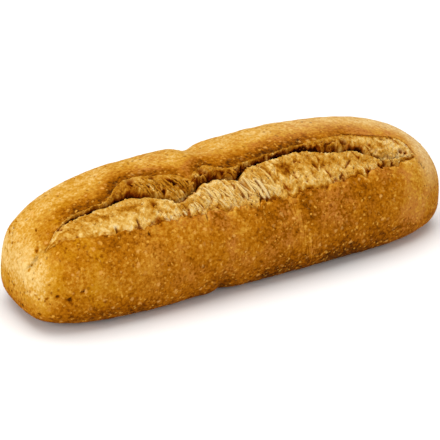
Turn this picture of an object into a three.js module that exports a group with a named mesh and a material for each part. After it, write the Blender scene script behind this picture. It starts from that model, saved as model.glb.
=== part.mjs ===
// A brown bread roll: a short baton, scored once along its top, whose score tore open as it baked.
// Millimetres, +Z up, +X along the roll and -Y towards the torn side. The origin is the middle of
// the flat base.
import * as THREE from "three";
import { mergeVertices } from "three/addons/utils/BufferGeometryUtils.js";

// The whole roll.
const LENGTH = 200;
const HALF_WIDTH = 31.5; // at the belly, the widest line of each side
const HEIGHT = 49.6;
const BELLY_HEIGHT = 16.6;
const LEAN = 11.5; // the crest lies this far behind the middle, because the torn side gave way
const UNDERSIDE_DEPTH = 18.2; // how far the underside would hang below the belly, were it not flat

// How blunt the roll is: 2 is an ellipse, and higher powers are nearer to a box.
const TOP_BLUNTNESS = 2.4;
const UNDERSIDE_BLUNTNESS = 3.2;
const LEFT_END = { plan: 4.3, top: 2.9, underside: 4.8 };
const RIGHT_END = { plan: 3.2, top: 3.15, underside: 5.2 };
// The left end leans back: over the run past its start, it comes to slope in above the pivot's height.
const LEFT_RAKE = { start: -78, run: 20, slope: 0.085, pivot: 12 };

// The tear's lines, from one end of the roll to the other, as [place along the roll, share of the
// half-width in front of the crest]. The lip is the crust's front edge, the crevice is where the tear
// is deepest, and the edge is where the crust starts again behind it.
const LIP = [
  [-100, 0.62], [-88, 0.62], [-76, 0.71], [-56, 0.8], [-41, 0.826], [-21, 0.804],
  [-14, 0.846], [35, 0.845], [72, 0.806], [85, 0.74], [100, 0.74],
];
const CREVICE = [
  [-100, 0.6], [-90, 0.57], [-78, 0.43], [-52, 0.46], [-31, 0.655], [-16, 0.54], [-3, 0.595],
  [4, 0.495], [30, 0.44], [42, 0.52], [56, 0.565], [66, 0.7], [76, 0.73], [100, 0.73],
];
const EDGE = [
  [-100, 0.59], [-90, 0.56], [-78, 0.4], [-64, 0.4], [-46, 0.2], [-38, 0.26], [-22, 0.47],
  [-13, 0.37], [-3, 0.49], [4, 0.44], [21, 0.41], [45, 0.335], [57, 0.31], [73, 0.4], [80, 0.43],
  [85, 0.7], [100, 0.7],
];
// How deep the crevice is, as [place along the roll, depth]. The tear runs out where this is 0.
const DEPTH = [
  [-100, 0], [-94, 0], [-83, 0.4], [-75, 3.2], [-66, 5], [-45, 6], [-30, 3.6], [-20, 4.5],
  [-8, 7], [28, 8.5], [45, 6.5], [57, 6], [79, 3], [86, 0], [100, 0],
];
const RIDGE_GAP = 0.06; // the crumb's ridge stands this share of the half-width in front of the crevice
const LIP_STEP = 1; // the crumb starts this far below the crust's lip
const RIDGE_RISE = 0.5; // and swells to this far above the crust's line at its ridge
const FULL_DEPTH = 4; // where the crevice is this deep, the step and the swell are whole
const DROP_STEEPNESS = 1.5; // how late the drop from the ridge to the crevice falls
const WALL_STEEPNESS = 3; // how early the wall behind the crevice is back up at the crust

// The torn crumb is broken into crags: waves of these lengths along the roll, which slant across it.
const CRAG_LENGTHS = [15.1, 8.3, 5.6];
const CRAG_SLANT = 9;
const CRAG_HEIGHT = 0.9;
const CRAG_TURN = 2.4; // each wave starts this many radians after the one before

// The marks of handling the dough: a waist behind the crest, between two angles that it fades over,
// the front heel, drawn in by a depth along the roll, and a lump on the left end.
const WAIST = { place: -8.5, width: 5.4, depth: 2.3, from: 2.9, rise: 0.5, to: 4.8, fall: 0.9 };
const HEEL = { angle: 1.05, spread: 0.4 };
const HEEL_DEPTH = [
  [-100, 0], [-52, 0.2], [-30, 0.8], [-21.5, 2.3], [-17.5, 1.6], [-5, 1], [30, 1.1], [55, 0.7],
  [78, 0], [100, 0],
];
const LUMP = { middle: new THREE.Vector3(-95.4, 13.2, 31.7), radius: 6, height: 2.6 };

// How finely the form is divided: stations along the roll, and points round each station's ring.
const STATIONS = 90;
const RING = { frontCrust: 21, band: 9, drop: 3, wall: 6, backCrust: 25 };
const RING_POINTS = Object.values(RING).reduce((sum, count) => sum + count, 0);

const WELD = 1e-3;
const TINY = 1e-9; // closes the tips in spite of rounding
const CRUST_COLOUR = 0xb9742b;
const CRUST_ROUGHNESS = 0.72;

const clamp01 = (value) => Math.min(Math.max(value, 0), 1);
const ease = (value) => THREE.MathUtils.smoothstep(value, 0, 1);
const bell = (distance) => Math.exp(-distance * distance);

// A smooth curve through [place, value] points, level with its neighbours at each of them.
function along(points, place) {
  const last = points.length - 2;
  const next = points.findIndex(([x]) => x >= place);
  const i = next < 0 ? last : Math.min(Math.max(next - 1, 0), last);
  const slope = (k) => {
    const before = points[Math.max(k - 1, 0)];
    const after = points[Math.min(k + 1, points.length - 1)];
    return (after[1] - before[1]) / (after[0] - before[0]);
  };
  const [x0, v0] = points[i];
  const [x1, v1] = points[i + 1];
  const span = x1 - x0;
  const t = clamp01((place - x0) / span);
  const lead = t * (1 - t) * (1 - t) * span * slope(i);
  const trail = t * t * (1 - t) * span * slope(i + 1);
  return v0 + (v1 - v0) * ease(t) + lead - trail;
}

// The length that brings the direction (a, b) to the outline |a|^power + |b|^power = 1.
const reach = (a, b, power) => (Math.abs(a) ** power + Math.abs(b) ** power) ** (-1 / power);
const taper = (share, power) => Math.max(1 - Math.abs(share) ** power - TINY, 0) ** (1 / power);

// One station along the roll, from -1 at the left end to 1 at the right: its place, and how full the
// roll is there.
function station(t) {
  const end = t < 0 ? LEFT_END : RIGHT_END;
  const angle = (t * Math.PI) / 2;
  const forward = Math.sin(angle) / (LENGTH / 2);
  const sideways = Math.cos(angle) / HALF_WIDTH;
  const scale = reach(forward, sideways, end.plan);
  const share = forward * scale;
  return {
    x: (share * LENGTH) / 2,
    width: sideways * scale,
    top: taper(share, end.top),
    underside: taper(share, end.underside),
  };
}

// The crust before it tore: the section's point at an angle from the base's middle, which goes up the
// front, over the crest at half a turn and down the back.
function crust(at, angle) {
  const side = -Math.sin(angle);
  const up = -Math.cos(angle);
  const scale = reach(side, up, up > 0 ? TOP_BLUNTNESS : UNDERSIDE_BLUNTNESS);
  const lift = up * scale;
  const climb = lift > 0 ? (HEIGHT - BELLY_HEIGHT) * at.top : UNDERSIDE_DEPTH * at.underside;
  const lean = LEAN * at.width * at.top * Math.max(lift, 0) ** 2;
  return new THREE.Vector2(HALF_WIDTH * at.width * side * scale + lean, BELLY_HEIGHT + lift * climb);
}

const ANGLE_STEP = 1e-3;
function outward(at, angle) {
  const run = crust(at, angle + ANGLE_STEP).sub(crust(at, angle - ANGLE_STEP));
  return new THREE.Vector2(-run.y, run.x).normalize();
}

// The angle at which the section's top is a given share of the half-width in front of the crest.
const angleOf = (share) => Math.PI - Math.atan2(share, taper(share, TOP_BLUNTNESS));

// The angles of the tear's lines at a station, front to back.
function tearLines(x) {
  const lip = along(LIP, x);
  const crevice = along(CREVICE, x);
  const ridge = crevice + Math.min(RIDGE_GAP, (lip - crevice) / 2);
  return [lip, ridge, crevice, along(EDGE, x)].map(angleOf);
}

// One ring of angles, with its points shared out between the crust and the parts of the tear.
// Each has its part's name and how far across that part it lies.
function ring(lines) {
  const ends = [0, ...lines, 2 * Math.PI];
  return Object.entries(RING).flatMap(([part, count], i) =>
    Array.from({ length: count }, (_, k) => {
      const across = k / count;
      return { part, across, angle: ends[i] + (ends[i + 1] - ends[i]) * across };
    }),
  );
}

function crags(x, angle) {
  const turns = (length) => (x + CRAG_SLANT * angle) / length;
  const wave = (length, i) => Math.sin(2 * Math.PI * turns(length) + i * CRAG_TURN);
  return (CRAG_HEIGHT * CRAG_LENGTHS.map(wave).reduce((a, b) => a + b)) / CRAG_LENGTHS.length;
}

// How far a point stands above the crust's line in the tear: a step down behind the lip, a swell up to
// the ridge, the drop into the crevice and the torn wall behind it.
function tearRelief(part, across, x, angle) {
  const depth = Math.max(along(DEPTH, x), 0);
  const open = clamp01(depth / FULL_DEPTH);
  const rise = RIDGE_RISE * open;
  const rough = open * crags(x, angle) * Math.sin(across * Math.PI);
  if (part === "band") {
    const swell = Math.sin((across * Math.PI) / 2);
    const sunk = across > 0 ? LIP_STEP * open * (1 - across) : 0;
    return rise * swell - sunk + rough;
  }
  if (part === "drop") {
    return rise - (rise + depth) * across ** DROP_STEEPNESS;
  }
  if (part === "wall") {
    const climb = (1 - across) ** WALL_STEEPNESS;
    return (rough - depth) * climb;
  }
  return 0;
}

// How far the waist and the heel press a point of the crust in.
function dents(x, angle) {
  const behind = ease((angle - WAIST.from) / WAIST.rise) * ease((WAIST.to - angle) / WAIST.fall);
  const waist = WAIST.depth * bell((x - WAIST.place) / WAIST.width) * behind;
  const heel = Math.max(along(HEEL_DEPTH, x), 0) * bell((angle - HEEL.angle) / HEEL.spread);
  return waist + heel;
}

// A point of the roll's surface.
function surface(at, { part, across, angle }) {
  const section = crust(at, angle);
  if (at.width > WELD) {
    const middle = new THREE.Vector3(at.x, section.x, section.y);
    const lump = LUMP.height * bell(middle.distanceTo(LUMP.middle) / LUMP.radius);
    const height = tearRelief(part, across, at.x, angle) + lump - dents(at.x, angle);
    section.addScaledVector(outward(at, angle), height);
  }
  const z = Math.max(section.y, 0);
  const rake = LEFT_RAKE.slope * ease((LEFT_RAKE.start - at.x) / LEFT_RAKE.run);
  return new THREE.Vector3(at.x + rake * (z - LEFT_RAKE.pivot), section.x, z);
}

// The whole solid: a sphere's grid, with its poles at the roll's ends, laid over the form.
function rollGeometry() {
  const grid = new THREE.SphereGeometry(1, RING_POINTS, STATIONS);
  const places = grid.attributes.position;
  for (let i = 0; i <= STATIONS; i++) {
    const at = station((2 * i) / STATIONS - 1);
    const angles = ring(tearLines(at.x));
    for (let k = 0; k <= RING_POINTS; k++) {
      const point = surface(at, angles[k % RING_POINTS]);
      places.setXYZ(i * (RING_POINTS + 1) + k, point.x, point.y, point.z);
    }
  }
  grid.deleteAttribute("normal");
  grid.deleteAttribute("uv");
  const solid = mergeVertices(grid, WELD);
  solid.computeBoundingBox();
  const middle = solid.boundingBox.getCenter(new THREE.Vector3());
  solid.translate(-middle.x, -middle.y, -solid.boundingBox.min.z);
  solid.computeVertexNormals();
  return solid;
}

const roll = new THREE.Mesh(
  rollGeometry(),
  new THREE.MeshStandardMaterial({ color: CRUST_COLOUR, roughness: CRUST_ROUGHNESS, metalness: 0 }),
);
roll.name = "roll";

const bread = new THREE.Group();
bread.add(roll);

export default bread;
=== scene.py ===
"""A brown bread roll: a baton-shaped loaf with a bran-flecked crust, torn open along its score."""

import functools
import math
import random
import types

import bmesh
import bpy
from bpy.props import FloatProperty, FloatVectorProperty, IntProperty, PointerProperty
from mathutils import Matrix, Vector, geometry, noise


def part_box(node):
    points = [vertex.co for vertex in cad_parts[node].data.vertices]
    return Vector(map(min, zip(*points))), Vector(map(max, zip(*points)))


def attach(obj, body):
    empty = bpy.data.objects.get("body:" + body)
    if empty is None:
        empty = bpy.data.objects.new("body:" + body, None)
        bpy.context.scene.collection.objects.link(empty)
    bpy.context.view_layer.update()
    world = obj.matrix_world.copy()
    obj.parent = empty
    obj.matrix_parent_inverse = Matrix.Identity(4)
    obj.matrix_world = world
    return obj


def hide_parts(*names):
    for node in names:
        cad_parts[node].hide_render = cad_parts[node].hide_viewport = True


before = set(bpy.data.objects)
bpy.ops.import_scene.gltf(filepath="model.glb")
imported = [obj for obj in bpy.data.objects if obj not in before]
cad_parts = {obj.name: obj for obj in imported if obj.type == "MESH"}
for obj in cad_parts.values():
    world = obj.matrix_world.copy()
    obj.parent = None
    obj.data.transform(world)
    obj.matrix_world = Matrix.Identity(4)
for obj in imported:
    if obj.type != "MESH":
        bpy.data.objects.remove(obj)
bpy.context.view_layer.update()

bl_info = {
    "name": "Brown bread roll",
    "version": (1, 0, 0),
    "blender": (4, 5, 0),
    "location": "3D View > Sidebar > Bread",
    "description": "Models a baton-shaped brown bread roll with a torn score, and a studio to show it in",
    "category": "Add Mesh",
}

# The roll's form, in millimetres. The solid that it replaces gives its height and place.
MM = 0.001
LOW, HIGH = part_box("roll")
LENGTH = 200
HEIGHT = HIGH.z / MM
HALF_WIDTH = 31.5
BELLY_HEIGHT = 16.6
UNDERSIDE_DEPTH = 18.2
LEAN = 11.5
MIDDLE_X = HIGH.x / MM - LENGTH / 2
MIDDLE_Y = LOW.y / MM + HALF_WIDTH

# How blunt the roll is, in section and at its ends: 2 is an ellipse, and higher powers are nearer to a box.
TOP_BLUNTNESS = 2.4
UNDERSIDE_BLUNTNESS = 3.2
LEFT_END = {"plan": 4.3, "top": 2.9, "underside": 4.8}
RIGHT_END = {"plan": 3.2, "top": 3.15, "underside": 5.2}
LEFT_RAKE = {"slope": 0.085, "start": -78, "run": 20, "pivot": 12}

# The tear's lines as (place along the roll, share of the half-width in front of the crest), and its depth.
LIP = (
    (-100, 0.68), (-97, 0.61), (-90, 0.613), (-85, 0.636), (-76.5, 0.706), (-69, 0.759), (-56, 0.8),
    (-41, 0.826), (-21, 0.804), (-14, 0.846), (35, 0.845), (63, 0.813), (72, 0.806), (76.5, 0.789),
    (80.5, 0.761), (85, 0.74), (100, 0.74),
)
CREVICE = (
    (-100, 0.6), (-92, 0.59), (-88, 0.55), (-85, 0.495), (-81.5, 0.455), (-77.5, 0.425), (-71.5, 0.44),
    (-57, 0.464), (-52.5, 0.455), (-45, 0.513), (-39, 0.556), (-31, 0.655), (-24, 0.62), (-20, 0.572),
    (-16.5, 0.535), (-10, 0.545), (-5, 0.58), (-1.5, 0.598), (1, 0.54), (4.5, 0.49), (14, 0.462),
    (24, 0.443), (30, 0.44), (35, 0.46), (42, 0.52), (56, 0.565), (66, 0.7), (76, 0.73), (85, 0.73),
    (100, 0.73),
)
EDGE = (
    (-100, 0.59), (-92, 0.58), (-88, 0.54), (-85, 0.48), (-81.5, 0.44), (-77.5, 0.408), (-71.5, 0.42),
    (-64.5, 0.43), (-58, 0.405), (-53, 0.3), (-46, 0.2), (-38, 0.26), (-26, 0.385), (-21.5, 0.47),
    (-16, 0.37), (-11, 0.375), (-6, 0.46), (-2.5, 0.5), (1.5, 0.46), (13.5, 0.43), (21, 0.41),
    (29, 0.385), (37, 0.37), (45, 0.335), (57, 0.31), (66, 0.35), (73, 0.4), (80, 0.425), (82.8, 0.5),
    (84.5, 0.617), (85.5, 0.72), (100, 0.72),
)
DEPTH = (
    (-100, 0), (-97, 0), (-94, 0.1), (-88, 0.2), (-83, 0.35), (-80, 1.3), (-75, 3.2), (-66, 5),
    (-45, 6), (-30, 3.6), (-20, 4.5), (-8, 7), (28, 8.5), (45, 6.5), (57, 6), (68, 4.5), (79, 3),
    (83.5, 1.2), (86, 0), (100, 0),
)
# The crumb's ridge in front of the crevice, the steps down at the lip and at the edge, and the lip's curl.
RIDGE_GAP = 0.06
RIDGE_RISE = 0.5
LIP_STEP = 1.0
LIP_CURL = 0.7
EDGE_STEP = ((-100, 0.05), (38, 0.05), (50, 0.4), (76, 0.4), (84, 0.1), (100, 0.1))
# How steeply the crevice drops, and how steep its wall is where it is shut and where it gapes, as powers.
DROP_STEEPNESS = 1.5
WALL_STEEPNESS = (5, 1.6)
# The tear is whole where the crevice is this deep. It shows between two places, and runs out over a length.
FULL_DEPTH = 4
TEAR_START = -92
TEAR_END = 86
TEAR_RUN = 4

# Dents from handling the dough: a waist across the crest and a wide hollow beside it, between two angles
# round the section, and the front heel, drawn in by a depth along the roll.
WAIST = {"place": -8.5, "width": 5.2, "depth": 2.3, "from": 2.9, "rise": 0.5, "to": 4.8, "fall": 0.9}
WAIST_HOLLOW = {"place": -3.5, "width": 16, "depth": 0.7}
HEEL = (
    (-100, 0), (-52, 0.3), (-38, 1.1), (-30, 1.5), (-21.5, 1.8), (-17, 3.9), (-13, 2.3), (-6, 1.4),
    (30, 1.2), (55, 0.8), (78, 0), (100, 0),
)
HEEL_ANGLE = 1.05
HEEL_SPREAD = 0.4

# Marks in the crumb as (place along the roll, share of the half-width in front of the crest, radius, depth).
HOLES = (
    (-85, 0.62, 0.6, 1.4), (-82.7, 0.474, 0.8, 2.4), (-81.8, 0.505, 0.6, 2.2), (-77.5, 0.68, 0.5, 1.2),
    (-44.8, 0.25, 1.6, 2), (-36, 0.32, 1.0, 2), (-29, 0.5, 1.0, 2), (-16.4, 0.535, 1.5, 2.4),
    (-14.5, 0.4, 1.3, 1.6), (-13, 0.44, 0.8, 1.6), (-9.5, 0.54, 1.4, 2.6), (-5, 0.59, 1.2, 2.4),
    (1.3, 0.53, 1.1, 2.6), (-3.2, 0.776, 1.2, 2), (-1.5, 0.72, 2.6, 1), (-1, 0.79, 0.9, 2.4),
    (4.5, 0.825, 0.8, 2), (7, 0.835, 0.7, 2), (46, 0.51, 1.5, 2.4), (49, 0.49, 1.2, 2.6),
    (54.5, 0.424, 1.3, 2.6), (57, 0.55, 1.2, 2.4), (59.5, 0.614, 1.5, 2.6), (73, 0.441, 0.7, 2),
    (66.3, 0.748, 0.7, 2), (79, 0.65, 0.9, 2.2), (81, 0.67, 0.7, 2.2),
)
# A hole this deep gets the full painted shade all through.
DARK_DEPTH = 2.6
# Marks in the crust as (x, y, z, radius): brown pores, and a lump on the left end.
PORES = (
    (-94.1, -7, 32.8, 1.2), (-89.7, -11.1, 34.6, 0.6), (-87.3, -11.6, 35.5, 0.5),
    (-97.2, -9.5, 28.4, 0.6), (-98.4, -9.4, 26, 0.8), (-90.1, 1.3, 37.2, 0.8), (-95.6, -21, 17.2, 0.8),
    (-92.2, -23.5, 18.5, 1.0), (-87.6, -25.9, 17.1, 1.0), (-82.1, -27.3, 20.1, 0.9),
    (-100, 5.5, 14.5, 0.7), (-100, 0.7, 14.5, 0.7), (-99.9, 2.5, 10.9, 0.6), (-99.6, -7.3, 9.1, 0.7),
    (-97.1, -18, 9.4, 0.7), (-93.1, 13.8, 34.1, 0.7), (-96.5, 13, 30, 0.8), (-49.7, -22.6, 35.9, 0.7),
)
LUMP = (-95.4, 13.2, 31.7, 6)
LUMP_HEIGHT = 2.6
PORE_DEPTH = 0.8
# The pale fold of the left end's corner, a path of (x, y, z).
FOLD = ((-98.6, -5.9, 26.7), (-99.3, -8.2, 23.7), (-99.7, -10, 20.5), (-99, -15, 16.4), (-97.6, -18.3, 13.4))
FOLD_WIDTH = 1.5
FOLD_HEIGHT = 0.7
# The groove that the tear ends in on the left, with its width as an angle round the section.
TAIL = {"start": -86, "run": 5, "end": -99.7, "end_run": 2, "width": 0.07, "depth": 0.9}
# Cracks as the (place, share) of their ends, in the crust and in the crumb.
CRUST_CRACKS = (((84.6, 0.75), (88, 0.901)), ((-21.5, 0.79), (-22.6, 0.862)))
CRUMB_CRACKS = (
    ((-61.4, 0.745), (-61.5, 0.788)), ((-51.7, 0.741), (-51.5, 0.822)),
    ((-47.6, 0.811), (-44.4, 0.812)), ((2.4, 0.7), (3.4, 0.8)), ((5, 0.69), (6, 0.81)),
    ((7.5, 0.69), (8.6, 0.82)), ((51.2, 0.697), (43.3, 0.818)), ((67.1, 0.677), (66.6, 0.795)),
)
# Bold strands as (place along the roll, start and end as shares of the way across the crumb or the wall).
FRONT_STRANDS = ((-2.2, 0.2, 0.95), (4.3, 0.04, 0.66), (6.8, 0.04, 0.7), (9.3, 0.04, 0.7))
WALL_STRANDS = (
    (-43, 0.25, 0.8), (-40.5, 0.1, 0.7), (-38.5, 0.3, 0.95), (-36.5, 0.1, 0.6), (-35, 0.35, 0.9),
    (-33, 0.1, 0.8), (-31, 0.2, 0.9), (-29, 0.1, 0.7), (-27.5, 0.3, 0.9), (-25.5, 0.1, 0.8),
    (-24, 0.3, 0.8),
)
CRACK_WIDTH = 0.4
# How much longer the top's arc is than the half-width that shares are measured on.
ARC_STRETCH = 1.4
# The dough stretched in a band of fine pale streaks down the front.
STRETCH = {"place": 26.5, "lean": 0.3, "width": 3.4, "streak": 0.9, "run": 9}

# Along the roll: how stringy the crumb is in front of the crevice and behind it, how much clean crumb the
# wall behind it shows, and how browned the crumb's ridge is.
STRINGY = (
    (-100, 0.1), (-62, 0.2), (-45, 0.5), (-35, 0.7), (8, 0.7), (18, 0.45), (30, 0.4), (45, 0.55),
    (55, 0.7), (66, 0.65), (100, 0.4),
)
WALL_STRINGY = ((-100, 0), (-52, 0.3), (-44, 1), (-26, 1), (-18, 0.2), (45, 0.15), (55, 0.3), (100, 0.3))
WALL_CRUMB = ((-100, 0), (45, 0), (54, 0.5), (60, 0.9), (100, 1))
RIDGE_BROWN = (
    (-100, 0), (-80, 0.1), (-66, 0.24), (-48, 0.24), (-38, 0.1), (0, 0.1), (12, 0.27), (36, 0.27),
    (46, 0.15), (100, 0.1),
)
# How rough the crumb is, how open its gas cells are, and how far up the wall the crevice gapes, which
# steepens the wall and carries its painted shade up it.
ROUGH = ((-100, 0.4), (-62, 0.5), (-46, 0.75), (-34, 1), (100, 1))
CELLS = ((-100, 0.5), (-30, 0.6), (8, 0.65), (20, 0.7), (45, 0.5), (100, 0.5))
GAPE = (
    (-100, 0), (-81, 0), (-76, 0.35), (-60, 0.3), (-54, 0.4), (-44, 0.35), (-39, 0.15), (-24, 0.1),
    (-17, 0.25), (-8, 0.3), (0, 0.25), (6, 0.3), (14, 0.6), (24, 0.7), (36, 0.8), (44, 0.3), (50, 0.25),
    (58, 0.4), (66, 0.3), (70, 0), (100, 0),
)
# How the strands slant, where along the roll the scattered strands (least, most, usual) and crumbs lie, and
# how the crumbs are shared out between the parts of the tear. The seeds start the random draws.
STRAND_SLANT = 0.36
STRAND_PLACES = (-45, 14, -8)
CRUMB_PLACES = (-80, 84)
CRUMB_SHARES = (0.5, 0.2, 0.3)
STRAND_SEED = 11
BRAN_SEED = 7

# The pale top starts behind the tear and ends low on the back. On the right end it lies above a height.
PALE_TOP = {"share": 0.45, "run": 0.45, "back": 4.9, "back_run": 0.8}
PALE_RIGHT_END = {"height": 18, "rise": 18, "start": 82, "run": 9}

# The meshes: stations along the roll, and points round each ring, shared out between the section's parts.
# The crust's points crowd towards the tear.
CRUST_STATIONS = 490
CRUST_RING = {"front": 72, "bed": 22, "back": 104}
CROWDING = 0.35
CRUMB_STATIONS = 830
CRUMB_RING = {"lip_tuck": 3, "band": 60, "drop": 12, "wall": 38, "edge_tuck": 3, "under": 2}
CRUMB_START = -97
CRUMB_END = 87
TORN_PARTS = ("band", "drop", "wall")
# How far the crumb tucks in under the crust, as an angle and a depth, how far it sinks where the tear runs
# out, and how far under it the crust's bed lies.
TUCK = 0.05
TUCK_DEPTH = 3.0
CRUMB_SINK = 1.2
BED_DEPTH = 3.0

# The photo's view in degrees and metres, with its lens in millimetres, and how far the floor reaches.
VIEW_AZIMUTH = -29.38
VIEW_ELEVATION = 27.0
VIEW_DISTANCE = 1.0965
VIEW_LENS = 212.6
VIEW_SENSOR = 36.0
VIEW_CENTRE = (-0.0038, 0.0001, 0.0207)
FLOOR_REACH = 6.0

WHITE = (1.0, 1.0, 1.0, 1.0)
BLACK = (0.0, 0.0, 0.0, 1.0)


def clamp(value):
    return min(max(value, 0.0), 1.0)


def ease(value):
    share = clamp(value)
    return share * share * (3 - 2 * share)


def blend(a, b, share):
    return a + (b - a) * share


def bell(distance):
    return math.exp(-distance * distance)


def along(points, place):
    """The value at a place, on a smooth curve through (place, value) points."""
    last = len(points) - 2
    after = next((k for k, point in enumerate(points) if point[0] >= place), last + 1)
    i = min(max(after - 1, 0), last)

    def slope(k):
        before = points[max(k - 1, 0)]
        beyond = points[min(k + 1, len(points) - 1)]
        return (beyond[1] - before[1]) / (beyond[0] - before[0])

    (x0, v0), (x1, v1) = points[i], points[i + 1]
    span = x1 - x0
    t = clamp((place - x0) / span)
    lead = t * (1 - t) * (1 - t) * span * slope(i)
    trail = t * t * (1 - t) * span * slope(i + 1)
    return v0 + (v1 - v0) * ease(t) + lead - trail


def ripple(seed, *places):
    """Smooth noise from about -1 to 1 at up to three places, each already divided by its wavelength."""
    spot = Vector(places + (0.0,) * (3 - len(places)))
    return noise.noise(spot + Vector((7.3, 3.1, 5.7)) * seed)


def reach(a, b, power):
    return (abs(a) ** power + abs(b) ** power) ** (-1 / power)


def taper(share, power):
    return max(1 - abs(share) ** power - 1e-9, 0) ** (1 / power)


def crust(cut, angle):
    """The untorn section's (y, z) at an angle from the base's middle, up the front and over the crest."""
    side = -math.sin(angle)
    up = -math.cos(angle)
    scale = reach(side, up, TOP_BLUNTNESS if up > 0 else UNDERSIDE_BLUNTNESS)
    lift = up * scale
    climb = (HEIGHT - BELLY_HEIGHT) * cut.top if lift > 0 else UNDERSIDE_DEPTH * cut.underside
    lean = LEAN * cut.plan * cut.top * max(lift, 0) ** 2
    return Vector((HALF_WIDTH * cut.plan * side * scale + lean, BELLY_HEIGHT + lift * climb))


def outward(cut, angle):
    run = crust(cut, angle + 1e-3) - crust(cut, angle - 1e-3)
    return Vector((-run.y, run.x)).normalized()


def angle_of(share):
    """The angle at which the top is a given share of the half-width in front of the crest."""
    return math.pi - math.atan2(share, taper(share, TOP_BLUNTNESS))


def crack_near(crack, x):
    places = [place for place, share in crack]
    return min(places) - 3 < x < max(places) + 3


def slice_at(x, sizes):
    """A slice across the roll: how full it is there, and the tear's lines, lengths and kind of crumb."""
    end = LEFT_END if x < 0 else RIGHT_END
    cut = types.SimpleNamespace(
        x=x, sizes=sizes, **{name: taper(2 * x / LENGTH, power) for name, power in end.items()})
    depth = max(along(DEPTH, x), 0)
    opened = clamp(depth / FULL_DEPTH)
    shown = ease((x - TEAR_START) / TEAR_RUN) * ease((TEAR_END - x) / TEAR_RUN)
    rough = along(ROUGH, x)
    ragged = 0.03 * ripple(1, x / 5.5) + 0.022 * ripple(2, x / 2.3) + 0.016 * ripple(8, x / 1.1)
    lip = along(LIP, x) + opened * blend(0.35, 1, rough) * ragged
    wander = blend(0.024, 0.012, ease(x / 10))
    crevice = along(CREVICE, x) + opened * (wander * ripple(3, x / 3.4) + 0.008 * rough * ripple(4, x / 1.3))
    notched = blend(0.006, 0.02, ease((x + 26) / 6) * ease((50 - x) / 10))
    edge = along(EDGE, x) + opened * (0.025 * ripple(5, x / 5) + notched * rough * ripple(6, x / 1.6))
    edge = min(edge, crevice - blend(0.008, 0.03, opened))
    ridge = crevice + min(RIDGE_GAP, (lip - crevice) / 2)
    angles = [angle_of(share) for share in (lip, ridge, crevice, edge)]
    spots = [crust(cut, angle) for angle in angles]
    cut.depth = depth
    cut.open = opened
    cut.shown = shown
    cut.torn = max(opened, 0.2 * shown)
    cut.deep = ease((opened - 0.3) / 0.4)
    cut.lip_step = LIP_STEP * rough * (1 + 0.8 * ripple(7, x / 8))
    cut.angles = angles
    cut.lengths = [(b - a).length for a, b in zip(spots, spots[1:])]
    cut.stringy = along(STRINGY, x)
    cut.wall_stringy = along(WALL_STRINGY, x)
    cut.wall_crumb = clamp(along(WALL_CRUMB, x))
    cut.edge_step = along(EDGE_STEP, x)
    cut.rough = rough
    cut.cells = along(CELLS, x)
    cut.ridge_brown = along(RIDGE_BROWN, x)
    cut.gape = clamp(along(GAPE, x))
    cut.heel = max(along(HEEL, x), 0)
    cut.waist = sum(
        dent["depth"] * bell((x - dent["place"]) / dent["width"]) for dent in (WAIST, WAIST_HOLLOW))
    cut.holes = [mark for mark in HOLES if abs(x - mark[0]) < 3 * mark[2]]
    cut.cracks = [crack for crack in CRUMB_CRACKS if crack_near(crack, x)]
    cut.rake = LEFT_RAKE["slope"] * ease((LEFT_RAKE["start"] - x) / LEFT_RAKE["run"])
    return cut


def crust_relief(spot, sizes):
    """The crust's unevenness at a spot: lumps of 26 mm, blisters of 5.5 mm, and grain of 2.2 and 1.2 mm."""
    lumps = sizes.lumps / MM * noise.noise(spot / 26)
    blisters = sizes.blisters / MM * noise.noise(spot / 5.5)
    grain = sizes.grain / MM * (noise.noise(spot / 2.2) + 0.6 * noise.noise(spot / 1.2))
    return lumps + blisters + grain


def settle(cut, angle, height):
    """The place in metres of the point at an angle and a height above the untorn crust."""
    section = crust(cut, angle)
    if cut.plan > 1e-3:
        height += crust_relief(Vector((cut.x, section.x, section.y)), cut.sizes) * cut.plan
        dents = cut.waist * ease((angle - WAIST["from"]) / WAIST["rise"])
        dents *= ease((WAIST["to"] - angle) / WAIST["fall"])
        dents += cut.heel * bell((angle - HEEL_ANGLE) / HEEL_SPREAD)
        section += outward(cut, angle) * (height - dents)
    z = max(section.y, 0)
    x = cut.x + cut.rake * (z - LEFT_RAKE["pivot"])
    return Vector((x + MIDDLE_X, section.x + MIDDLE_Y, z)) * MM


def locate(ring, share):
    """The part of a ring, and how far across that part, at a share of the way round."""
    count = share * sum(ring.values())
    for part, points in ring.items():
        if count < points:
            return part, count / points
        count -= points
    return next(iter(ring)), 0.0


def share_at(angle):
    """The share of the half-width in front of the crest at an angle on the roll's top."""
    side = math.sin(angle)
    up = -math.cos(angle)
    return side * reach(side, up, TOP_BLUNTNESS) if up > 0 else math.copysign(1, side)


def nearness(cut, angle, mark):
    """How near a point is to a hole in the crumb: 1 in its middle, and falling over its radius."""
    x, share, radius, _ = mark
    across = (share_at(angle) - share) * HALF_WIDTH * cut.plan * ARC_STRETCH
    return bell(math.hypot(cut.x - x, across) / radius)


def closeness(spot, marks):
    """How near a spot is to one of the crust's marks: 1 in its middle, and falling over its radius."""
    return max(bell((spot - Vector(mark[:3])).length / mark[3]) for mark in marks)


def beside(spot, path, width):
    """How near a spot is to a path: 1 on it, and falling over a width."""
    gaps = []
    for start, end in zip(path, path[1:]):
        share = clamp(geometry.intersect_point_line(spot, start, end)[1])
        gaps.append((spot - Vector(start).lerp(Vector(end), share)).length)
    return bell(min(gaps) / width)


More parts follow.
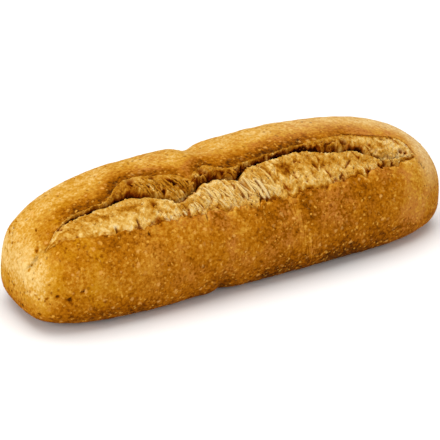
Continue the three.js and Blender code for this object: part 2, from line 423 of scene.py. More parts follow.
def cracking(cut, angle, crack):
    """How near a point is to a crack: 1 on it, and falling over its width."""
    ends = [Vector((x, share * HALF_WIDTH * ARC_STRETCH)) for x, share in crack]
    spot = Vector((cut.x, share_at(angle) * HALF_WIDTH * ARC_STRETCH))
    run = ends[1] - ends[0]
    down = clamp((spot - ends[0]).dot(run) / run.length_squared)
    spot.x += 0.9 * ripple(90, spot.y / 2)
    open_here = ease(0.7 + 1.6 * ripple(91, crack[0][0], spot.y / 2))
    return open_here * bell((spot - ends[0] - run * down).length / CRACK_WIDTH)


def tear_form(cut, part, across):
    """The tear's plain form: its height above the untorn crust before strands, pits and flakes."""
    rise = RIDGE_RISE * cut.open
    if part == "band":
        return rise * math.sin(across * math.pi / 2) - cut.lip_step * cut.open * (1 - across)
    if part == "drop":
        return rise - (rise + cut.depth) * across ** DROP_STEEPNESS
    step = cut.edge_step * cut.open
    return -step - max(cut.depth - step, 0) * (1 - across) ** blend(*WALL_STEEPNESS, cut.gape)


def crest(value):
    """Sharp crests where smooth noise crosses zero: 1 on a crest, and down to about -1 between crests."""
    return 1 - 3.4 * abs(value)


def pits(seed, x, v, size):
    """Torn gas cells, few of them deep: 1 at the bottom of a deep one, and 0 on the walls between them."""
    distances, middles = noise.voronoi(Vector((x / size, v / size, seed * 3.7)))
    deep = ease(1.6 * noise.noise(middles[0] * 1.7 + Vector((seed, 0, 0))) + 0.35)
    return deep * clamp(1.15 - distances[0] / 0.5)


def torn_angle(cut, part, across):
    """The angle at a share of the way across a part of the tear."""
    number = TORN_PARTS.index(part)
    return blend(*cut.angles[number:number + 2], across)


def torn_crumb(cut, part, across):
    """The torn crumb's height above the tear's plain form, how toasted it is and how much painted shade it
    gets.
    """
    x = cut.x
    number = TORN_PARTS.index(part)
    angle = torn_angle(cut, part, across)
    v = sum(cut.lengths[:number]) + across * cut.lengths[number]
    behind = part == "wall"

    # Strands lie at a slant across the tear, crooked and broken in places.
    u = x + STRAND_SLANT * v + 1.6 * ripple(40, x / 9, v / 6)
    strand = 0.6 * crest(ripple(12, u / 2.4, v / 9)) + 0.4 * crest(ripple(15, u / 1.2, v / 4))
    broken = ease(0.5 + 2.2 * ripple(44, x / 5, v / 3.5))
    stretched = (cut.wall_stringy if behind else cut.stringy) * strand * blend(1.15, 0.15, broken)

    # Between the strands are flakes, torn gas cells and a fine grain, with pockets under the lip.
    flakes = ripple(20, x / 4.5, v / 4) + 0.6 * ripple(21, x / 2, v / 2)
    plates = math.floor(flakes * 3) / 3 + ease((flakes * 3) % 1 * 3) / 3
    grain = ripple(19, x / 1.1, v / 1.1) + 0.5 * ripple(22, x / 0.55, v / 0.55)
    pit = 1.3 * cut.cells * (0.7 * pits(3, x, v * 0.7, 1.9) + 0.8 * pits(4, x, v, 1.0))
    pocket = 0 if behind else ease(2.6 * ripple(11, x / 3.1) - 0.45) * bell((v - 0.9) / 0.8)
    hole = max((mark[3] * nearness(cut, angle, mark) for mark in cut.holes), default=0)
    hole = max((1.6 * cracking(cut, angle, crack) for crack in cut.cracks), default=0) + hole
    fade = max(ease((1 - across) / 0.45), cut.wall_crumb) if behind else 1
    body = cut.rough * fade * (0.5 if part == "drop" else 1)
    if behind:
        body *= max(blend(0.7, 1, ease((x + 62) / 14)), cut.wall_crumb)
    clean = cut.wall_crumb if behind else 0
    gouge = ease(2.8 * ripple(56, x / 2, v / 1.4) - 0.1) * (1 - cut.wall_stringy) if behind else 0
    gouge *= 1 - 0.7 * clean
    coarse = 0.7 if behind else 0.42
    rough = body * (0.55 * stretched + 0.2 * plates + coarse * grain - 0.9 * pit - 0.9 * gouge)
    lift = cut.torn * (rough - 1.2 * cut.rough * pocket - hole)

    # The crumb is speckled in the middle, and calmer towards both ends.
    speckled = ease((x + 62) / 20)
    calm = max(1 - speckled, ease((x - 36) / 10))
    golden = blend(0.24, 0.12, calm) * ripple(50, x / 5, v / 3.5)
    golden += blend(0.26, 0.2, calm) * ripple(51, x / 1.8, v / 1.8) + blend(0.22, 0.26, calm) * grain
    shade = 0.0
    if part == "band":
        browned = cut.ridge_brown * bell((across - 0.7) / 0.24) * (0.8 + 0.8 * ripple(57, x / 6, v / 4))
        toast = blend(blend(0.46, 0.35, ease((x + 76) / 10)), 0.48, ease(across / 0.8))
        toast = blend(toast, 0.42, ease((x + 58) / 18))
        toast += 0.03 * ease((x - 4) / 8) + 0.04 * ease((x - 38) / 8) + browned
        scorched = blend(0.3, 0.5, ease((x + 52) / 10)) * ease(0.45 + 1.8 * ripple(54, x / 5))
        toast += scorched * ease(1 - v / 3) + 0.16 * ease((-x - 64) / 18) + 0.11 * ease((-x - 80) / 6)
        toast -= 0.2 * ease(2.4 * ripple(58, x / 3, v / 2.2) - 0.2) * (1 - speckled)
    elif part == "drop":
        toast = blend(0.4, blend(0.5, 0.8, cut.deep), across)
        shade = ease((across - 0.25) / 0.6) * cut.deep
    else:
        toast = blend(0.82, 0.68, across)
        shallow = blend(0.46, 0.66, ease((x + 84) / 8))
        toast = blend(blend(shallow, toast, cut.deep), blend(0.5, 0.32, ease((x - 66) / 10)), clean)
        golden *= blend(0.6, 1.25, fade)
        toast += 0.4 * ease((across - 0.86) / 0.14) * cut.wall_crumb
        shade = ease((cut.gape * (1 + 0.7 * ripple(53, x / 6, v / 4)) - across) / 0.25)
    # Painted light and shade of the relief: raised strands and plates are made paler, and the low places
    # between them browner.
    toast += golden - body * ((0.42 if behind else 0.28) * stretched + blend(0.2, 0.1, calm) * plates)
    # Painted shade: the gaps between strands, gouges, low places, pockets under the lip, holes and the
    # crevice's depths are darkened.
    gap = fade * (0.9 if behind else 0.5) * ease((-stretched - (0.0 if behind else 0.1)) / 0.45)
    sunk = max(gap, 0.65 * gouge * body, 0.85 * ease((-rough - 0.15) / 0.8)) * (1 - 0.45 * clean)
    hollow = max(shade, sunk, 0.8 * cut.rough * pocket, hole / DARK_DEPTH)
    return lift, {"toast": clamp(toast), "hollow": clamp(hollow)}


def crumb_point(cut, share):
    """A point of the crumb in metres, with its finish. The piece tucks in under the crust all round."""
    part, across = locate(CRUMB_RING, share)
    lip, edge = cut.angles[0], cut.angles[-1]
    # The hidden tucks get painted shade where the tear is deep.
    finish = {"toast": 0.6, "hollow": 0.5 * cut.deep}
    if part in TORN_PARTS:
        angle = torn_angle(cut, part, across)
        lift, finish = torn_crumb(cut, part, across)
        lift += tear_form(cut, part, across)
    elif part == "lip_tuck":
        angle = lip - TUCK * (1 - across)
        lift = blend(-TUCK_DEPTH, tear_form(cut, "band", 0), across)
    elif part == "edge_tuck":
        finish = torn_crumb(cut, "wall", 1.0)[1]
        angle = edge + TUCK * across
        lift = blend(tear_form(cut, "wall", 1), -TUCK_DEPTH, across)
    else:
        angle = blend(edge + TUCK, lip - TUCK, across)
        lift = -TUCK_DEPTH - cut.depth
    return settle(cut, angle, lift - CRUMB_SINK * (1 - cut.shown)), finish


def bed_height(cut, angle, across):
    """The crust's own surface inside the tear, which lies under the crumb."""
    starts = cut.angles
    number = next((k for k in range(3) if angle < starts[k + 1]), 2)
    inside = clamp((angle - starts[number]) / (starts[number + 1] - starts[number]))
    sunk = BED_DEPTH * cut.shown * ease(8 * min(across, 1 - across))
    return tear_form(cut, TORN_PARTS[number], inside) - sunk


def crust_point(cut, share):
    """A point of the crust in metres, with its finish."""
    part, across = locate(CRUST_RING, share)
    x = cut.x
    lip, edge = cut.angles[0], cut.angles[-1]
    height = 0.0
    if part == "front":
        angle = lip * across * (1 + CROWDING * (1 - across))
    elif part == "bed":
        angle = blend(lip, edge, (1 - math.cos(math.pi * across)) / 2)
        height = bed_height(cut, angle, across) if 0 < across < 1 else 0.0
    else:
        angle = blend(edge, 2 * math.pi, across * (1 - CROWDING * (1 - across)))
    section = crust(cut, angle)
    spot = Vector((x, section.x, section.y))
    pore = closeness(spot, PORES)
    fold = beside(spot, FOLD, FOLD_WIDTH)
    crack = max(cracking(cut, angle, mark) for mark in CRUST_CRACKS) if part == "front" else 0
    height += LUMP_HEIGHT * closeness(spot, (LUMP,)) - PORE_DEPTH * max(pore, crack)
    seam = tail(cut, angle)
    ragged = ease(0.3 + 2 * ripple(64, x / 1.5, angle / 0.06))
    height -= TAIL["depth"] * seam * blend(0.5, 1, ragged)
    if part == "front":
        curl = ripple(61, x / 4) + 0.7 * ripple(62, x / 1.5, angle / 0.05)
        height += LIP_CURL * cut.open * (0.3 + curl) * bell((lip - angle) / 0.08 - 0.3)
    front = ease((lip - angle) / 0.15) * ease((angle - 0.9) / 0.3)
    streak = crest(ripple(60, x / STRETCH["streak"], section.y / STRETCH["run"]))
    stretched = bell((x + STRETCH["lean"] * section.y - STRETCH["place"]) / STRETCH["width"])
    near = 1 if part == "bed" else bell((lip - angle) / 0.06 if part == "front" else (angle - edge) / 0.25)
    # The crust's cracks and the groove at the tail get painted shade.
    finish = {
        "bake": browning(cut, angle, section.y, part) - 0.12 * fold + 0.55 * ease(1.6 * pore - 0.3),
        "flour": flouring_and_sheen(cut, angle, section.y),
        "stretch": stretched * front * clamp(streak),
        "hollow": 0.7 * ease(1.6 * crack - 0.4) + blend(0.05, 0.42, ragged) * seam,
        "tear": near * cut.open,
    }
    place = settle(cut, angle, height)
    place.x -= FOLD_HEIGHT * fold * MM
    return place, finish


def on_top(cut, angle, z):
    """How far a point is on the pale top behind the tear, or high on the right end, from 0 to 1."""
    start = max(cut.angles[-1], angle_of(PALE_TOP["share"]))
    behind = ease((angle - start) / PALE_TOP["run"])
    behind *= ease((PALE_TOP["back"] - angle) / PALE_TOP["back_run"])
    high = ease((z - PALE_RIGHT_END["height"]) / PALE_RIGHT_END["rise"])
    return blend(behind, high, ease((cut.x - PALE_RIGHT_END["start"]) / PALE_RIGHT_END["run"]))


def tail(cut, angle):
    """How near a point is to the groove that the tear ends in on the left: 1 on its line."""
    middle = (cut.angles[0] + cut.angles[-1]) / 2
    begun = ease((TAIL["start"] - cut.x) / TAIL["run"])
    ended = ease((cut.x - TAIL["end"]) / TAIL["end_run"])
    return begun * ended * bell((angle - middle) / TAIL["width"])


def browning(cut, angle, z, part):
    """How far the crust is baked, from 0 for pale straw to 1 for dark brown."""
    x = cut.x
    lip, edge = cut.angles[0], cut.angles[-1]
    top = on_top(cut, angle, z)
    # The crust is darker towards the foot of the roll. Its left end and its top stay pale.
    bake = 0.6 + 0.24 * ease((20 - z) / 18)
    pale_end = 0.41 * ease((-x - 86) / 13) + 0.04 * ease((-x - 94) / 5)
    pale_end *= blend(0.24, 1, ease((z - 5) / 18))
    bake += (1 - top) * (0.08 * ease((x + 40) / 80) - 0.22 * ease((x - 55) / 30))
    bake -= max(pale_end, top * (0.33 + 0.06 * ease((x - 10) / 60)))
    # The lip in front of the tear is browned, with a pale ragged rim, and the edge behind it is scorched.
    if part == "front":
        bake += 0.13 * bell((lip - angle) / 0.13) * cut.open * (0.4 + 0.6 * ease((-x - 30) / 20))
        bake += 0.11 * bell((x - 8) / 18) * bell((lip - angle) / 0.3)
        rim = bell((lip - angle) / 0.07) * ease(0.45 + 2 * ripple(63, x / 4))
        bake -= blend(0.2, 0.36, ease((x + 52) / 10)) * cut.open * rim
    if part == "back":
        scorched = 0.24 + 0.06 * bell((x - 25) / 14) - 0.18 * bell((x + 21) / 5) + 0.1 * ease((-x - 46) / 10)
        bake += scorched * bell((angle - edge) / 0.2) * cut.open * ease((50 - x) / 20)
    if part == "bed":
        bake = blend(bake, 0.64, cut.shown)
    return clamp(bake)


def flouring_and_sheen(cut, angle, z):
    """How much flour dust the crust has kept, which also stands in for a painted sheen: some on the top, and
    more towards its right end.
    """
    x = cut.x
    return (0.13 * ease((x - 5) / 70) + 0.13 * ease((x - 76) / 10)) * on_top(cut, angle, z)


def linear(colour_hex):
    """An sRGB hex colour as linear red, green, blue and alpha."""
    values = [int(colour_hex[i:i + 2], 16) / 255 for i in (1, 3, 5)]
    return tuple(v / 12.92 if v <= 0.04045 else ((v + 0.055) / 1.055) ** 2.4 for v in values) + (1.0,)


def per_metre(size_mm):
    """A texture scale whose pattern repeats about every size_mm on Object coordinates."""
    return 1 / (size_mm * MM)


def add_node(tree, kind, inputs=(), ramp=(), **settings):
    """Adds a shader node with its settings. Each input is a value, or another node's output to link."""
    node = tree.nodes.new("ShaderNode" + kind)
    for name, value in settings.items():
        setattr(node, name, value)
    for name, value in dict(inputs).items():
        if isinstance(value, bpy.types.NodeSocket):
            tree.links.new(value, node.inputs[name])
        else:
            node.inputs[name].default_value = value
    for i, (place, colour) in enumerate(ramp):
        stop = node.color_ramp.elements[i] if i < 2 else node.color_ramp.elements.new(place)
        stop.position = place
        stop.color = colour
    return node


def new_material(name):
    """A new material, what adds a node to it, and the Object coordinates in it."""
    material = bpy.data.materials.new(name)
    material.use_nodes = True
    material.node_tree.nodes.clear()
    add = functools.partial(add_node, material.node_tree)
    return material, add, add("TexCoord").outputs["Object"]


def crust_material(colours):
    """Baked wholemeal crust: a thin, dry, matt skin, mottled from gold to brown and flecked with bran."""
    material, add, place = new_material("baked wholemeal crust")
    bake, flour, stretch, hollow = [
        add("Attribute", attribute_name=name).outputs["Fac"]
        for name in ("bake", "flour", "stretch", "hollow")]

    # Browning varies in patches 30 mm and 14 mm across, and in mottles of 3 mm and 1.2 mm.
    baked = bake
    for size, strength in ((30, 0.25), (14, 0.35), (3, 0.5), (1.2, 0.75)):
        patches = add(
            "TexNoise", {"Vector": place, "Scale": per_metre(size), "Detail": 2.0, "Roughness": 0.6})
        centred = add("Math", {0: patches.outputs["Fac"], 1: 0.5}, operation="SUBTRACT")
        baked = add(
            "Math", {0: centred.outputs[0], 1: strength, 2: baked}, operation="MULTIPLY_ADD").outputs[0]
    baked = add("Math", {0: stretch, 1: -0.32, 2: baked}, operation="MULTIPLY_ADD").outputs[0]
    skin = add("ValToRGB", {"Fac": baked}, ramp=(
        (0.0, colours.palest), (1.0, colours.dark), (0.1, colours.pale), (0.3, colours.light),
        (0.6, colours.golden), (0.82, colours.brown)))

    # Patches 12 mm across are tinted where the bake is the usual one: yellow on the left, tan on the right.
    sides = add("SeparateXYZ", {"Vector": place})
    rightwards = add("MapRange", {"Value": sides.outputs["X"], "From Min": -70 * MM, "From Max": -30 * MM})
    tint = add("Mix", {0: rightwards.outputs[0], 6: colours.yellow, 7: colours.tan}, data_type="RGBA")
    patches = add("TexNoise", {"Vector": place, "Scale": per_metre(12), "Detail": 3.0, "Roughness": 0.6})
    tinted = add("MapRange", {
        "Value": patches.outputs["Fac"], "From Min": 0.42, "From Max": 0.68, "To Max": 0.55},
        interpolation_type="SMOOTHSTEP")
    usual = add("ValToRGB", {"Fac": baked}, ramp=(
        (0.2, BLACK), (0.75, BLACK), (0.42, WHITE), (0.6, WHITE)))
    share = add("Math", {0: tinted.outputs[0], 1: usual.outputs[0]}, operation="MULTIPLY")
    skin = add("Mix", {0: share.outputs[0], 6: skin.outputs[0], 7: tint.outputs[2]}, data_type="RGBA")

    # Uneven flecks of bran under the skin: broad pale flakes 4 mm apart, pale flecks 2.1 mm apart and dark
    # husks 2.9 mm apart, each with its radius as a share of that distance and the most that it shows.
    sway = add("TexNoise", {"Vector": place, "Scale": per_metre(1.4), "Detail": 1.0})
    swayed = add(
        "VectorMath", {0: sway.outputs["Color"], 1: (1.6 * MM,) * 3, 2: place}, operation="MULTIPLY_ADD")
    flecked = skin.outputs[2]
    for apart, size, most, colour in (
            (4, 0.27, 0.8, colours.flake), (2.1, 0.36, 0.9, colours.fleck), (2.9, 0.28, 0.7, colours.husk)):
        spots = add("TexVoronoi", {"Vector": swayed.outputs[0], "Scale": per_metre(apart)})
        dot = add("MapRange", {
            "Value": spots.outputs["Distance"], "From Min": size * 0.4, "From Max": size,
            "To Min": most, "To Max": 0.0}, interpolation_type="SMOOTHSTEP")
        split = add("SeparateColor", {"Color": spots.outputs["Color"]})
        strength = add("Math", {0: split.outputs[0], 1: 1.3}, operation="POWER")
        shown = add("Math", {0: dot.outputs[0], 1: strength.outputs[0]}, operation="MULTIPLY")
        flecked = add("Mix", {0: shown.outputs[0], 6: flecked, 7: colour}, data_type="RGBA").outputs[2]
    # Flour dust, which also stands in for a painted sheen on the top.
    dusted_and_sheened = add("Mix", {0: flour, 6: flecked, 7: colours.flour}, data_type="RGBA").outputs[2]
    # Painted shade: the crust's cracks and the groove at the tail are darkened towards the crevice colour.
    shaded = add("Mix", {0: hollow, 6: dusted_and_sheened, 7: colours.crevice}, data_type="RGBA")

    # The skin's own grain of 0.8 mm shows as the finest unevenness of its shading.
    grain = add("TexNoise", {"Vector": place, "Scale": per_metre(0.8), "Detail": 2.0, "Roughness": 0.6})
    bump = add("Bump", {"Strength": 0.7, "Distance": 0.4 * MM, "Height": grain.outputs["Fac"]})
    shader = add("BsdfPrincipled", {
        "Base Color": shaded.outputs[2], "Roughness": 0.7, "Normal": bump.outputs[0],
        "IOR": 1.45, "Specular IOR Level": 0.015})
    add("OutputMaterial", {"Surface": shader.outputs[0]})
    return material


def crumb_material(colours):
    """Torn wholemeal crumb: soft, dry and open, cream where it is clean and toasted elsewhere."""
    material, add, place = new_material("torn wholemeal crumb")
    toast, hollow = [
        add("Attribute", attribute_name=name).outputs["Fac"] for name in ("toast", "hollow")]
    # Crumb walls 0.8 mm across vary a little in how far the heat of the oven reached them.
    walls = add("TexNoise", {"Vector": place, "Scale": per_metre(0.8), "Detail": 2.0, "Roughness": 0.6})
    centred = add("Math", {0: walls.outputs["Fac"], 1: 0.5}, operation="SUBTRACT")
    toasted = add("Math", {0: centred.outputs[0], 1: 0.5, 2: toast}, operation="MULTIPLY_ADD")
    soft = add("ValToRGB", {"Fac": toasted.outputs[0]}, ramp=(
        (0.0, colours.milky), (1.0, colours.toasted), (0.2, colours.cream), (0.42, colours.straw),
        (0.7, colours.amber)))
    # Painted shade: the crumb is darkened in its hollows, in the gaps between strands and in the depths of
    # the tear, through a tint towards the crevice colour.
    depths = add("ValToRGB", {"Fac": hollow}, ramp=(
        (0.0, WHITE), (1.0, colours.crevice), (0.5, colours.hollow)))
    shaded = add(
        "Mix", {0: 1.0, 6: soft.outputs[0], 7: depths.outputs[0]}, data_type="RGBA", blend_type="MULTIPLY")
    bump = add("Bump", {"Strength": 0.7, "Distance": 0.4 * MM, "Height": walls.outputs["Fac"]})
    shader = add("BsdfPrincipled", {
        "Base Color": shaded.outputs[2], "Roughness": 0.95, "Normal": bump.outputs[0],
        "IOR": 1.4, "Specular IOR Level": 0.01})
    add("OutputMaterial", {"Surface": shader.outputs[0]})
    return material


def bran_material(name, colour, other):
    """Bran: flat chips of the wheat's husk, dry and matt, a little uneven in colour."""
    material, add, place = new_material(name)
    shade = add("TexNoise", {"Vector": place, "Scale": per_metre(4), "Detail": 1.0})
    mixed = add("Mix", {0: shade.outputs["Fac"], 6: colour, 7: other}, data_type="RGBA")
    shader = add("BsdfPrincipled", {
        "Base Color": mixed.outputs[2], "Roughness": 0.85, "IOR": 1.45, "Specular IOR Level": 0.05})
    add("OutputMaterial", {"Surface": shader.outputs[0]})
    return material


def floor_material(colour):
    """Matt white studio paper, a little uneven."""
    material, add, place = new_material("matt studio paper")
    fibre = add("TexNoise", {"Vector": place, "Scale": per_metre(3), "Detail": 2.0})
    bump = add("Bump", {"Strength": 0.05, "Distance": 0.2 * MM, "Height": fibre.outputs["Fac"]})
    shader = add("BsdfPrincipled", {"Base Color": colour, "Roughness": 0.9, "Normal": bump.outputs[0]})
    add("OutputMaterial", {"Surface": shader.outputs[0]})
    return material


def wrapped_grid(stations, ring, names, sharp, point_of):
    """A grid closed round a form, with a hard crease where each of the sharp parts of its ring starts.

    point_of gives the place and finish of the point at a station from -1 to 1 and a share of the ring.
    """
    points = sum(ring.values())
    shape = bmesh.new()
    bmesh.ops.create_grid(shape, x_segments=stations, y_segments=points, size=1.0)
    starts = [sum(list(ring.values())[:list(ring).index(part)]) for part in sharp]
    for edge in shape.edges:
        rows = {round((vert.co.y + 1) / 2 * points, 3) for vert in edge.verts}
        edge.smooth = len(rows) > 1 or not rows & set(starts)
    layers = {name: shape.verts.layers.float.new(name) for name in names}
    for vert in shape.verts:
        vert.co, finish = point_of(round(vert.co.x, 5), (vert.co.y + 1) / 2)
        for name, value in finish.items():
            vert[layers[name]] = value
    border = [vert for vert in shape.verts if vert.is_boundary]
    bmesh.ops.remove_doubles(shape, verts=border, dist=1e-6)
    if any(edge.is_boundary for edge in shape.edges):
        raise RuntimeError("the surface is not closed")
    return shape


def add_piece(name, shape, material):
    """Makes an object of a bmesh, which is freed, with smooth faces."""
    for face in shape.faces:
        face.smooth = True
    mesh = bpy.data.meshes.new(name)
    shape.to_mesh(mesh)
    shape.free()
    mesh.materials.append(material)
    piece = bpy.data.objects.new(name, mesh)
    bpy.context.scene.collection.objects.link(piece)
    return piece


def join_frame(piece):
    """Ties a piece to the roll's frame, in place of its solid."""
    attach(piece, "root")
    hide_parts("roll")


def colour_property(name, description, colour_hex):
    return FloatVectorProperty(
        name=name, description=description, default=linear(colour_hex), subtype="COLOR", size=4,
        min=0, max=1)


def size_property(name, description, size_mm):
    return FloatProperty(
        name=name, description=description, default=size_mm * MM, unit="LENGTH", precision=5)


def count_property(name, description, count):
    return IntProperty(name=name, description=description, default=count, min=0)


def power_property(name, description, power):
    return FloatProperty(name=name, description=description, default=power, unit="POWER")


class RollSizes(bpy.types.PropertyGroup):
    """Sizes of the roll's relief, and of the loose strands, crumbs and bran on it."""

    lumps: size_property("Lumps", "Height of the slow lumps of the hand-shaped dough", 0.5)
    blisters: size_property("Blisters", "Height of the small blisters of the crust", 0.22)
    grain: size_property("Grain", "Height of the crust's fine grain", 0.1)
    strands: count_property("Strands", "Strands of crumb across the tear", 55)
    strand_width: size_property("Strand width", "Width of a usual strand", 1.1)
    crumbs: count_property("Crumbs", "Loose crumbs in the tear", 700)
    crumb_size: size_property("Crumb size", "Width of a usual crumb", 0.9)
    bran_chips: count_property("Bran chips", "Chips of bran in the crust", 600)
    bran_length: size_property("Bran length", "Length of a usual chip of bran", 1.3)
    bran_thickness: size_property("Bran thickness", "Thickness of a chip of bran", 0.28)


class RollColours(bpy.types.PropertyGroup):
    """Colours of the crust from its palest to its darkest, of the bran, and of the crumb."""

    palest: colour_property("Palest crust", "Crust that the oven left pale", "#e6c078")
    pale: colour_property("Pale crust", "Crust that the oven hardly browned", "#dcb46a")
    light: colour_property("Light crust", "Lightly baked crust", "#c99230")
    golden: colour_property("Golden crust", "Crust of the usual bake", "#a86408")
    brown: colour_property("Brown crust", "Well baked crust", "#824600")
    dark: colour_property("Dark crust", "The darkest crust", "#4c2503")
    # Flour: real dust, and a painted sheen on the top and the right end.
    flour: colour_property("Flour", "Dust left on the crust", "#ead9b8")
    fleck: colour_property("Pale bran", "Bran just under the skin", "#d59a3a")
    flake: colour_property("Bran flake", "Broad flakes of bran just under the skin", "#d99f4e")
    husk: colour_property("Dark bran", "Scorched bran", "#6e3506")
    yellow: colour_property("Yellow patch", "Yellowish patches of crust", "#bb8008")
    tan: colour_property("Tan patch", "Dull patches of crust", "#b87438")
    milky: colour_property("Milky crumb", "The palest crumb, where the dough was wet", "#d3b988")
    cream: colour_property("Cream crumb", "Clean crumb", "#debd78")
    straw: colour_property("Straw crumb", "Crumb that the heat reached", "#cb9d48")
    amber: colour_property("Amber crumb", "Crumb that the heat dried", "#b07418")
    toasted: colour_property("Toasted crumb", "Crumb toasted brown", "#7a3c02")
    # Painted shade: the tints that darken the crumb's hollows and the depths of the tear, and the crust's
    # cracks.
    hollow: colour_property("Hollow", "Tint of the crumb's shallow hollows", "#c08c50")
    crevice: colour_property("Crevice", "Tint of the depths of the tear", "#3a1a06")


class StudioSettings(bpy.types.PropertyGroup):
    """The floor and light round the roll."""

    top_power: power_property("Top light", "Power of the light overhead", 17.0)
    side_power: power_property("Side light", "Power of the light on the left", 7.0)
    front_power: power_property("Front light", "Power of the light in front", 4.0)
    sky: FloatProperty(name="Room light", description="Strength of the even light of the room", default=0.4)
    floor: colour_property("Floor", "Paper under the roll", "#f7f6f4")


class BREAD_OT_crust(bpy.types.Operator):
    """Model the crust, with a bed for the crumb where it tore"""

    bl_idname = "bread.crust"
    bl_label = "Bake crust"

    def execute(self, context):
        sizes = context.scene.roll_sizes
        cuts = {}

        def point_of(t, share):
            if t not in cuts:
                end = LEFT_END if t < 0 else RIGHT_END
                forward = math.sin(t * math.pi / 2) / (LENGTH / 2)
                sideways = math.cos(t * math.pi / 2) / HALF_WIDTH
                cuts[t] = slice_at(forward * reach(forward, sideways, end["plan"]) * LENGTH / 2, sizes)
            return crust_point(cuts[t], share)

        finishes = ("bake", "flour", "stretch", "hollow", "tear")
        shape = wrapped_grid(CRUST_STATIONS, CRUST_RING, finishes, ("bed", "back"), point_of)
        join_frame(add_piece("crust", shape, crust_material(context.scene.roll_colours)))
        return {"FINISHED"}


class BREAD_OT_crumb(bpy.types.Operator):
    """Model the torn crumb along the score"""

    bl_idname = "bread.crumb"
    bl_label = "Tear crumb"

    def execute(self, context):
        sizes = context.scene.roll_sizes
        cuts = {}

        def point_of(t, share):
            if t not in cuts:
                cuts[t] = slice_at(blend(CRUMB_START, CRUMB_END, (t + 1) / 2), sizes)
            cut = cuts[t]
            if abs(t) == 1:
                return settle(cut, cut.angles[1], -TUCK_DEPTH), {}
            return crumb_point(cut, share)

        shape = wrapped_grid(
            CRUMB_STATIONS, CRUMB_RING, ("toast", "hollow"), ("band", "edge_tuck"), point_of)
        join_frame(add_piece("crumb", shape, crumb_material(context.scene.roll_colours)))
        return {"FINISHED"}


class BREAD_OT_strands(bpy.types.Operator):
    """Stretch strands of crumb across the tear, and scatter crumbs in it"""

    bl_idname = "bread.strands"
    bl_label = "Stretch strands"

    def execute(self, context):
        sizes = context.scene.roll_sizes
        material = bpy.data.materials["torn wholemeal crumb"]
        draw = random.Random(STRAND_SEED)

        shape = bmesh.new()
        toast = shape.verts.layers.float.new("toast")
        strands = [("band", *strand, 1.5, 0.5) for strand in FRONT_STRANDS]
        strands += [("wall", *strand, 0.9, 0.5) for strand in WALL_STRANDS]
        for _ in range(sizes.strands):
            start = draw.uniform(0.04, 0.5)
            end = draw.uniform(start + 0.25, 1.0)
            x = draw.triangular(*STRAND_PLACES)
            strands.append(("band", x, start, end, draw.uniform(0.6, 1.2), draw.uniform(0, 0.4)))
        for part, x, start, end, broad, lift in strands:
            slope = draw.gauss(-STRAND_SLANT, 0.15)
            width = sizes.strand_width * broad
            colour = draw.uniform(0.55, 0.8) if part == "wall" else draw.uniform(0.1, 0.45) / broad
            length = slice_at(x, sizes).lengths[TORN_PARTS.index(part)] * (end - start)
            rings = {}
            for vert in bmesh.ops.create_uvsphere(shape, u_segments=5, v_segments=8, radius=1.0)["verts"]:
                s = round(math.acos(max(min(vert.co.z, 1), -1)) / math.pi, 3)
                if s not in rings:
                    cut = slice_at(x + slope * length * (s - 0.5) + 0.3 * ripple(70, x, s * 2), sizes)
                    across = blend(start, end, s)
                    angle = torn_angle(cut, part, across)
                    height = tear_form(cut, part, across) + torn_crumb(cut, part, across)[0]
                    height += lift * math.sin(s * math.pi) - 0.15
                    middle = settle(cut, angle, height)
                    rings[s] = (middle, (settle(cut, angle, height + 1) - middle).normalized())
                middle, away = rings[s]
                round_off = 0.5 * width * math.hypot(vert.co.x, vert.co.y) ** -0.5 if 0 < s < 1 else 0
                vert.co = middle + (Vector((vert.co.x, 0, 0)) + away * vert.co.y) * round_off
                vert[toast] = colour
        join_frame(add_piece("crumb_strands", shape, material))

        shape = bmesh.new()
        toast, hollow = [shape.verts.layers.float.new(name) for name in ("toast", "hollow")]
        for _ in range(sizes.crumbs):
            x = draw.uniform(*CRUMB_PLACES)
            part = draw.choices(TORN_PARTS, CRUMB_SHARES)[0]
            across = draw.random() ** (0.6 if part == "band" else 1)
            cut = slice_at(x, sizes)
            angle = torn_angle(cut, part, across)
            lift, finish = torn_crumb(cut, part, across)
            middle = settle(cut, angle, lift + tear_form(cut, part, across) - 0.1)
            size = sizes.crumb_size * draw.uniform(0.4, 1.3)
            form = Matrix.Diagonal([size / 2 * draw.uniform(0.7, 1.3) for _ in range(3)]).to_4x4()
            turn = Matrix.Rotation(draw.uniform(0, math.tau), 4, Vector((draw.random(), draw.random(), 1)))
            ball = bmesh.ops.create_icosphere(
                shape, subdivisions=2, radius=1.0, matrix=Matrix.Translation(middle) @ turn @ form)["verts"]
            for vert in ball:
                vert.co += (vert.co - middle) * draw.uniform(-0.2, 0.2)
                vert[toast] = clamp(finish["toast"] + draw.uniform(-0.1, 0.05))
                # Loose crumbs get the painted shade of the place where they lie.
                vert[hollow] = 0.8 * finish["hollow"]
        join_frame(add_piece("crumbs", shape, material))
        return {"FINISHED"}


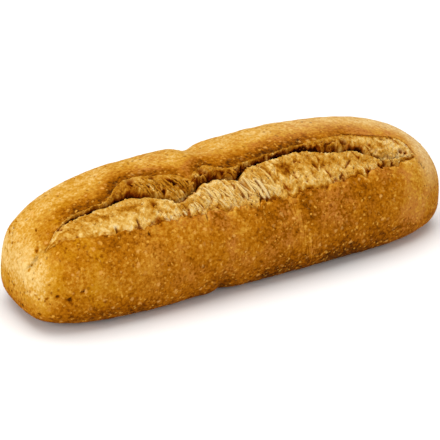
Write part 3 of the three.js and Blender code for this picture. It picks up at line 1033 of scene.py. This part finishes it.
class BREAD_OT_bran(bpy.types.Operator):
    """Press chips of bran, pale and dark, into the crust"""

    bl_idname = "bread.bran"
    bl_label = "Scatter bran"

    def execute(self, context):
        sizes = context.scene.roll_sizes
        colours = context.scene.roll_colours
        mesh = bpy.data.objects["crust"].data
        tear = mesh.attributes["tear"].data
        # Bran shows least on the top, and not at all in the tear or under the base.
        weights = [
            face.area * (face.center.z > MM) * (1 - 0.7 * ease((face.normal.z - 0.5) / 0.35))
            * (1 - max(tear[vert].value for vert in face.vertices))
            for face in mesh.polygons]
        draw = random.Random(BRAN_SEED)
        # Each kind of bran as (name, share of the chips, colour, other colour).
        kinds = (
            ("bran_pale", 0.88, colours.fleck, colours.golden),
            ("bran_dark", 0.12, colours.husk, colours.golden),
        )
        for name, share, colour, other in kinds:
            shape = bmesh.new()
            for face in draw.choices(mesh.polygons, weights, k=round(sizes.bran_chips * share)):
                length = sizes.bran_length * draw.uniform(0.5, 1.15)
                width = length * draw.uniform(0.5, 0.85)
                lie = face.normal.to_track_quat("Z", "X").to_matrix().to_4x4()
                turn = Matrix.Rotation(draw.uniform(0, math.tau), 4, "Z")
                form = Matrix.Diagonal((length / 2, width / 2, sizes.bran_thickness / 2, 1))
                place = Matrix.Translation(face.center) @ lie @ turn @ form
                bmesh.ops.create_icosphere(shape, subdivisions=1, radius=1.0, matrix=place)
            join_frame(add_piece(name, shape, bran_material(name.replace("_", " "), colour, other)))
        return {"FINISHED"}


class BREAD_OT_stage(bpy.types.Operator):
    """Set up the floor, the soft light and the camera"""

    bl_idname = "bread.stage"
    bl_label = "Set stage"

    def execute(self, context):
        studio = context.scene.bread_studio
        shape = bmesh.new()
        bmesh.ops.create_grid(shape, x_segments=8, y_segments=8, size=FLOOR_REACH)
        floor = add_piece("floor", shape, floor_material(studio.floor))

        sky = bpy.data.worlds.new("studio room")
        sky.use_nodes = True
        background = sky.node_tree.nodes["Background"]
        background.inputs["Color"].default_value = WHITE
        background.inputs["Strength"].default_value = studio.sky
        context.scene.world = sky
        context.scene.view_settings.view_transform = "Standard"

        # Each light as (name, power, width, place), turned towards the roll.
        lights = (
            ("top_light", studio.top_power, 1.5, (0.0, 0.1, 1.3)),
            ("side_light", studio.side_power, 0.8, (-1.2, -0.25, 0.5)),
            ("front_light", studio.front_power, 0.9, (0.3, -1.2, 0.6)),
        )
        for name, power, size, spot in lights:
            lamp = bpy.data.lights.new(name, "AREA")
            lamp.energy = power
            lamp.size = size
            light = bpy.data.objects.new(name, lamp)
            light.location = spot
            light.rotation_euler = (-Vector(spot)).to_track_quat("-Z", "Y").to_euler()
            context.scene.collection.objects.link(light)

        azimuth = math.radians(VIEW_AZIMUTH)
        elevation = math.radians(VIEW_ELEVATION)
        back = Vector((
            math.sin(azimuth) * math.cos(elevation),
            -math.cos(azimuth) * math.cos(elevation),
            math.sin(elevation)))
        lens = bpy.data.cameras.new("camera")
        lens.lens = VIEW_LENS
        lens.sensor_width = VIEW_SENSOR
        camera = bpy.data.objects.new("camera", lens)
        camera.location = Vector(VIEW_CENTRE) + back * VIEW_DISTANCE
        camera.rotation_euler = (-back).to_track_quat("-Z", "Y").to_euler()
        context.scene.collection.objects.link(camera)
        context.scene.camera = camera
        return {"FINISHED"}


class BREAD_PT_panel(bpy.types.Panel):
    """Brown bread roll"""

    bl_label = "Brown bread roll"
    bl_idname = "BREAD_PT_panel"
    bl_space_type = "VIEW_3D"
    bl_region_type = "UI"
    bl_category = "Bread"

    def draw(self, context):
        for settings in (context.scene.roll_sizes, context.scene.roll_colours, context.scene.bread_studio):
            for name in settings.bl_rna.properties.keys():
                if name not in ("rna_type", "name"):
                    self.layout.prop(settings, name)
        for step in STEPS:
            self.layout.operator(step.bl_idname)


STEPS = (BREAD_OT_crust, BREAD_OT_crumb, BREAD_OT_strands, BREAD_OT_bran, BREAD_OT_stage)
CLASSES = (RollSizes, RollColours, StudioSettings, *STEPS, BREAD_PT_panel)


def register():
    for cls in CLASSES:
        bpy.utils.register_class(cls)
    bpy.types.Scene.roll_sizes = PointerProperty(type=RollSizes)
    bpy.types.Scene.roll_colours = PointerProperty(type=RollColours)
    bpy.types.Scene.bread_studio = PointerProperty(type=StudioSettings)


def unregister():
    del bpy.types.Scene.roll_sizes
    del bpy.types.Scene.roll_colours
    del bpy.types.Scene.bread_studio
    for cls in reversed(CLASSES):
        bpy.utils.unregister_class(cls)


def main():
    register()
    bpy.ops.bread.crust()
    bpy.ops.bread.crumb()
    bpy.ops.bread.strands()
    bpy.ops.bread.bran()
    bpy.ops.bread.stage()


if __name__ == "__main__":
    main()
